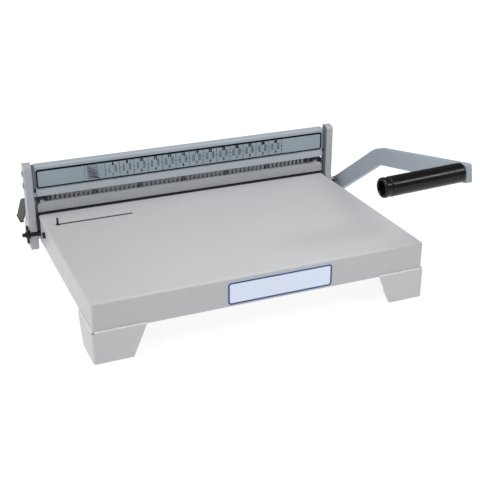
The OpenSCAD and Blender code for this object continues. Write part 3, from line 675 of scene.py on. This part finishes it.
tray = Build()
outer = rrect(50.3, 369.7, 263, 299, 3.0)
floor_in = inset(outer, 1.4)
tr = []
for ins, z in ((2.2, -61.2), (1.1, -61.0), (0.35, -60.4), (0.0, -59.4), (0.0, -42.1), (0.15, -41.65), (0.5, -41.5), (0.9, -41.5), (1.25, -41.65), (1.4, -42.1), (1.4, -58.8), (1.7, -59.5), (2.4, -59.8)):
    loop = inset(outer, ins) if ins else outer
    tr.append([P(x, y, z) for x, y in loop])
ids = [tray.add(r) for r in tr]
for a, b2 in zip(ids, ids[1:]):
    tray.bridge(a, b2)
tray.cap([ids[0]], [inset(outer, 2.2)])
tray.cap([ids[-1]], [inset(outer, 2.4)])
lip = fillet([(298.0, -43.0, 0.2), (305.9, -43.0, 0.0), (305.9, -48.0, 0.4), (307.3, -48.0, 0.4), (307.3, -41.6, 1.2), (298.0, -41.6, 0.2)], 15)
tray.plate(lip[::-1] if sum((lip[i - 1][0] * lip[i][1] - lip[i][0] * lip[i - 1][1]) for i in range(len(lip))) < 0 else lip, "yz", 180, 240, 0.4)
tray.obj("chip_drawer_pan", "chip_drawer", "tray_paint", M["tray"], ["chip_tray"])

# ------------------------------------------------------------------ wing nuts on the clamp studs
def wing(side, to):
    b = Build()
    x0 = -14.8
    hub = [(3.0, x0 - 5.5), (3.5, x0 - 5.4), (3.75, x0 - 5.0), (4.75, x0 - 0.5), (4.9, x0 - 0.2), (4.7, x0), (3.0, x0), (2.56, x0 - 0.4), (2.56, x0 - 5.1)]
    b.lathe("x", (STUD_Y, STUD_Z), hub, 40, True, to)
    for s in (1, -1):
        rings = []
        for t, wy, tx, cx in ((2.4, 3.5, 1.9, -2.1), (4.5, 3.2, 1.85, -2.05), (6.5, 3.1, 1.8, -2.0), (8.5, 3.3, 1.75, -2.0), (10.0, 3.3, 1.7, -2.0),
                              (11.3, 2.9, 1.6, -2.0), (12.2, 2.1, 1.3, -2.0), (12.65, 1.2, 0.9, -2.0), (12.8, 0.4, 0.3, -2.0)):
            ring = []
            for j in range(20):
                a = 2 * math.pi * j / 20
                ca, sa = math.cos(a), math.sin(a)
                ring.append(to(x0 + cx + tx * math.copysign(abs(ca) ** 0.75, ca), STUD_Y + wy * math.copysign(abs(sa) ** 0.85, sa), STUD_Z + s * t))
            rings.append(ring)
        b.loft(rings)
    b.obj("clamp_wing_" + side, "wing_" + side, "black_oxide", M["black"], ["wing_nut_" + side], sharp=45)


wing("left", P)
wing("right", right)

# ------------------------------------------------------------------ yoke plates and side stop knob
LY, LZ, LR, PLX = AY + 10.5 * math.cos(math.radians(168)), AZ + 10.5 * math.sin(math.radians(168)), 12.0, 38.0
wy0 = LY - LR - 1.2
yoke = fillet([(wy0 - 5, LZ - 19, 4), (297, LZ - 19, 3), (306, LZ - 12, 3), (306, 53, 3), (300, 53, 0.4), (300, LZ + 16.6, 2), (wy0 - 5, LZ + 16.6, 4)], 15)
wz0, wz1, wy1 = LZ - LR - 0.3, LZ + LR + 0.3, AY + 7 + 1.5
window = fillet([(wy0, wz0, 1.2), (wy1, wz0, 1.2), (wy1, wz1, 1.2), (wy0, wz1, 1.2)], 30)
for side, to in (("left", P), ("right", right)):
    Build().plate(yoke, "yz", PLX - 4, PLX + 4, 0.6, [window], to=to).obj("yoke_plate_" + side, "punch_group", "bar_steel", M["die"], ["pull_plate_" + side])

SX, SY, ZK = 16.6, 230.3, -1.5


def knurl(r, w, a):
    return r + (0.22 * math.cos(18 * a) if r > 6.0 and ZK - 6.6 < w < ZK - 2.0 else 0.0)


Build().lathe("z", (SX, SY), [(2.0, ZK - 7.0), (5.2, ZK - 7.0), (5.9, ZK - 6.8), (6.25, ZK - 6.4), (6.25, ZK - 5.0), (6.25, ZK - 3.2), (6.25, ZK - 2.1), (5.8, ZK - 1.7), (4.7, ZK - 1.55),
                              (4.6, ZK - 0.6), (4.4, ZK - 0.35), (2.0, ZK - 0.3)], 108, True, wobble=knurl).obj(
    "stop_thumb_knob", "side_stop", "stop_black", M["stop"], ["stop_knob"])


# ------------------------------------------------------------------ printed chart and badge
def text_into(b, s, size, cx, cz, y_face, thick, mat, bold=0.0):
    """Plain numerals as thin closed shapes facing -Y."""
    cu = bpy.data.curves.new("numeral", "FONT")
    cu.body, cu.size, cu.align_x, cu.align_y = s, size, "CENTER", "CENTER"
    cu.extrude, cu.resolution_u, cu.offset = thick / 2, 3, bold
    o = bpy.data.objects.new("numeral", cu)
    bpy.context.scene.collection.objects.link(o)
    bpy.context.view_layer.update()
    me = bpy.data.meshes.new_from_object(o.evaluated_get(bpy.context.evaluated_depsgraph_get()))
    ids = b.add([P(cx + v.co.x, y_face + thick / 2 - v.co.z - thick * 0.9, cz + v.co.y) for v in me.vertices])
    for p in me.polygons:
        b.face([ids[i] for i in p.vertices], mat)
    bpy.data.objects.remove(o)
    bpy.data.curves.remove(cu)
    bpy.data.meshes.remove(me)


def bar_into(b, x0, z0, x1, z1, w, y_face, thick, mat):
    """A thin printed line from one point to another."""
    p, q = Vector((x0, z0)), Vector((x1, z1))
    d = (q - p).normalized()
    n = Vector((-d.y, d.x)) * (w / 2)
    c = [p - n, q - n, q + n, p + n]
    lo = b.add([P(v.x, y_face, v.y) for v in c])
    hi = b.add([P(v.x, y_face - thick, v.y) for v in c])
    b.bridge(lo, hi, mat)
    b.face(lo, mat)
    b.face(hi[::-1], mat)


Y0 = 274.2
Build().plate(rrect(1.6, 419.0, 35.5, 61.7, 4.0), "xz", 274.2, 275.0, 0.2).obj("chart_label_plate", "frame", "chart_print", M["chart"], ["chart_plate"])
ink = Build()
ink.plate(rrect(1.9, 418.7, 35.7, 61.5, 3.8), "xz", Y0 - 0.06, Y0 + 0.04, 0.02, [rrect(4.1, 416.6, 37.5, 58.8, 2.2)], seg=1, mat=0)
y1, th = Y0 + 0.04, 0.08
bar_into(ink, 66.4, 38.0, 66.4, 58.8, 0.5, y1, th, 1)
for i in range(14):
    x = 94.6 + 20 * i
    bar_into(ink, x, 37.8, x, 58.9, 0.5, y1, th, 0)
    bar_into(ink, x - 2.4, 49.0, x + 2.4, 49.0, 0.55, y1, th, 1)
    bar_into(ink, x - 1.6, 43.4, x + 1.6, 43.4, 0.4, y1, th, 1)
rings_mm = [6, 8, 10, 12, 14, 16, 19, 22, 25, 28, 32, 38, 45]
sheets = [20, 40, 55, 80, 100, 120, 150, 180, 200, 240, 280, 340, 410]
for i in range(13):
    x = 104.6 + 20 * i
    text_into(ink, str(rings_mm[i]), 5.4, x + 0.6, 56.3, Y0, 0.08, 0, 0.34)
    lo = sheets[i] - (9 if i else 19)
    for j, z in enumerate((52.6, 50.2, 47.8, 45.4)):
        text_into(ink, str(max(lo + 5 * j, 1)), 2.9, x - 4.4, z, Y0, 0.08, 1, 0.10)
        text_into(ink, str(sheets[i] + 5 * j), 2.9, x + 4.4, z, Y0, 0.08, 1, 0.10)
    bar_into(ink, x - 7.4, 54.0, x + 7.4, 54.0, 0.3, y1, 0.06, 2)
    bar_into(ink, x, 44.2, x, 53.8, 0.3, y1, 0.06, 2)
    text_into(ink, str(i % 9 + 1), 4.9, x + 0.6, 41.2, Y0, 0.08, 0, 0.28)
bar_into(ink, 69.6, 48.4, 85.2, 48.4, 19.4, y1, 0.06, 2)
for i in range(8):
    z = 57.6 - 2.4 * i
    bar_into(ink, 69.8 + 0.3 * i, z, 84.6 + 0.35 * i, max(z - 8.6, 38.6), 1.2, y1, 0.08, 3)
for i in range(4):
    z = 54.8 - 4.1 * i
    bar_into(ink, 71.0 + 1.1 * i, z, 81.0 + 1.2 * i, max(z - 5.8, 39.2), 0.9, y1, 0.10, 1)
for i, z in enumerate((55.5, 52.0, 48.5, 45.0, 41.5)):
    bar_into(ink, 86.4, z, 91.6, z, 0.8, y1, 0.06, 2)
ink.obj("chart_scale_print", "frame", "chart_print", [M["ink"], M["ink_soft"], M["ink_tint"], M["ink_mid"]], weighted=False, sharp=20)

Build().plate(rrect(158.5, 293.5, -34.3, -4.9, 4.5), "xz", -0.7, 0.0, 0.2).obj("front_label_plate", "frame", "badge_print", M["badge"], ["front_badge"])
lab = Build()
lab.plate(rrect(159.1, 292.9, -33.7, -5.5, 4.0), "xz", -0.75, -0.66, 0.02, [rrect(161.2, 290.8, -31.6, -7.6, 2.2)], seg=1, mat=0)
lab.plate(rrect(161.1, 290.9, -31.7, -7.5, 2.3), "xz", -0.735, -0.68, 0.02, seg=1, mat=1)
lab.obj("front_label_print", "frame", "badge_print", [M["badge_line"], M["badge_fill"]], weighted=False, sharp=20)

# ------------------------------------------------------------------ floor, light and camera
me = bpy.data.meshes.new("floor")
me.from_pydata([(-7, -7, 0), (7, -7, 0), (7, 7, 0), (-7, 7, 0)], [], [(0, 1, 2, 3)])
floor = bpy.data.objects.new("studio_floor", me)
bpy.context.scene.collection.objects.link(floor)
fm = Mat("studio_floor_paper")
fm.set(Roughness=0.9, Specular_IOR_Level=0.1, Emission_Strength=0.84, Emission_Color=(1.0, 1.0, 1.0, 1.0))
tone = fm.mix(fm.range(fm.noise(1.5, 2.0), 0.0, 1.0), (0.28, 0.28, 0.28, 1), (0.31, 0.31, 0.31, 1))
fm.out(tone, None, None)
me.materials.append(fm.m)


def area(name, loc, target, size, energy, color=(1, 1, 1), size_y=None):
    l = bpy.data.lights.new(name, "AREA")
    l.shape = "RECTANGLE"
    l.size, l.size_y, l.energy, l.color = size, size_y or size, energy, color
    o = bpy.data.objects.new(name, l)
    o.location = loc
    o.rotation_euler = (Vector(target) - Vector(loc)).to_track_quat("-Z", "Y").to_euler()
    bpy.context.scene.collection.objects.link(o)
    return o


def sun(name, azimuth, elevation, strength, spread, color=(1, 1, 1)):
    """Broad soft light from a direction: azimuth from +X towards +Y."""
    l = bpy.data.lights.new(name, "SUN")
    l.energy, l.angle, l.color = strength, math.radians(spread), color
    o = bpy.data.objects.new(name, l)
    az, el = math.radians(azimuth), math.radians(elevation)
    d = Vector((math.cos(az) * math.cos(el), math.sin(az) * math.cos(el), math.sin(el)))
    o.rotation_euler = d.to_track_quat("Z", "Y").to_euler()
    bpy.context.scene.collection.objects.link(o)
    return o


sun("window_left", 183, 52, 2.10, 50, (0.98, 0.99, 1.0))
area("overhead", (0.05, -0.20, 1.2), (0.05, -0.15, 0.05), 0.9, 0.8, (1.0, 1.0, 1.0))
area("near_top", (-0.02, -0.27, 0.44), (-0.02, -0.26, 0.0), 0.40, 0.76, (1.0, 1.0, 0.99))
area("front_right", (0.80, -0.86, 0.88), (0.18, -0.22, 0.08), 0.44, 3.6, (1.0, 0.975, 0.925), 0.14)

world = bpy.data.worlds.new("studio")
world.use_nodes = True
bg = world.node_tree.nodes["Background"]
bg.inputs["Color"].default_value = (0.97, 0.985, 1.0, 1.0)
bg.inputs["Strength"].default_value = 0.20
bpy.context.scene.world = world
bpy.context.scene.view_settings.view_transform = "Standard"

cam = bpy.data.cameras.new("camera")
cam.sensor_width, cam.lens, cam.clip_start, cam.clip_end = 36.0, 70.396, 0.05, 60.0
cam_obj = bpy.data.objects.new("camera", cam)
cam_obj.location = (-0.42065, -1.1013, 0.5541)
cam_obj.rotation_euler = (math.radians(65.765), 0.0, math.radians(-22.902))
bpy.context.scene.collection.objects.link(cam_obj)
bpy.context.scene.camera = cam_obj

bpy.context.view_layer.update()
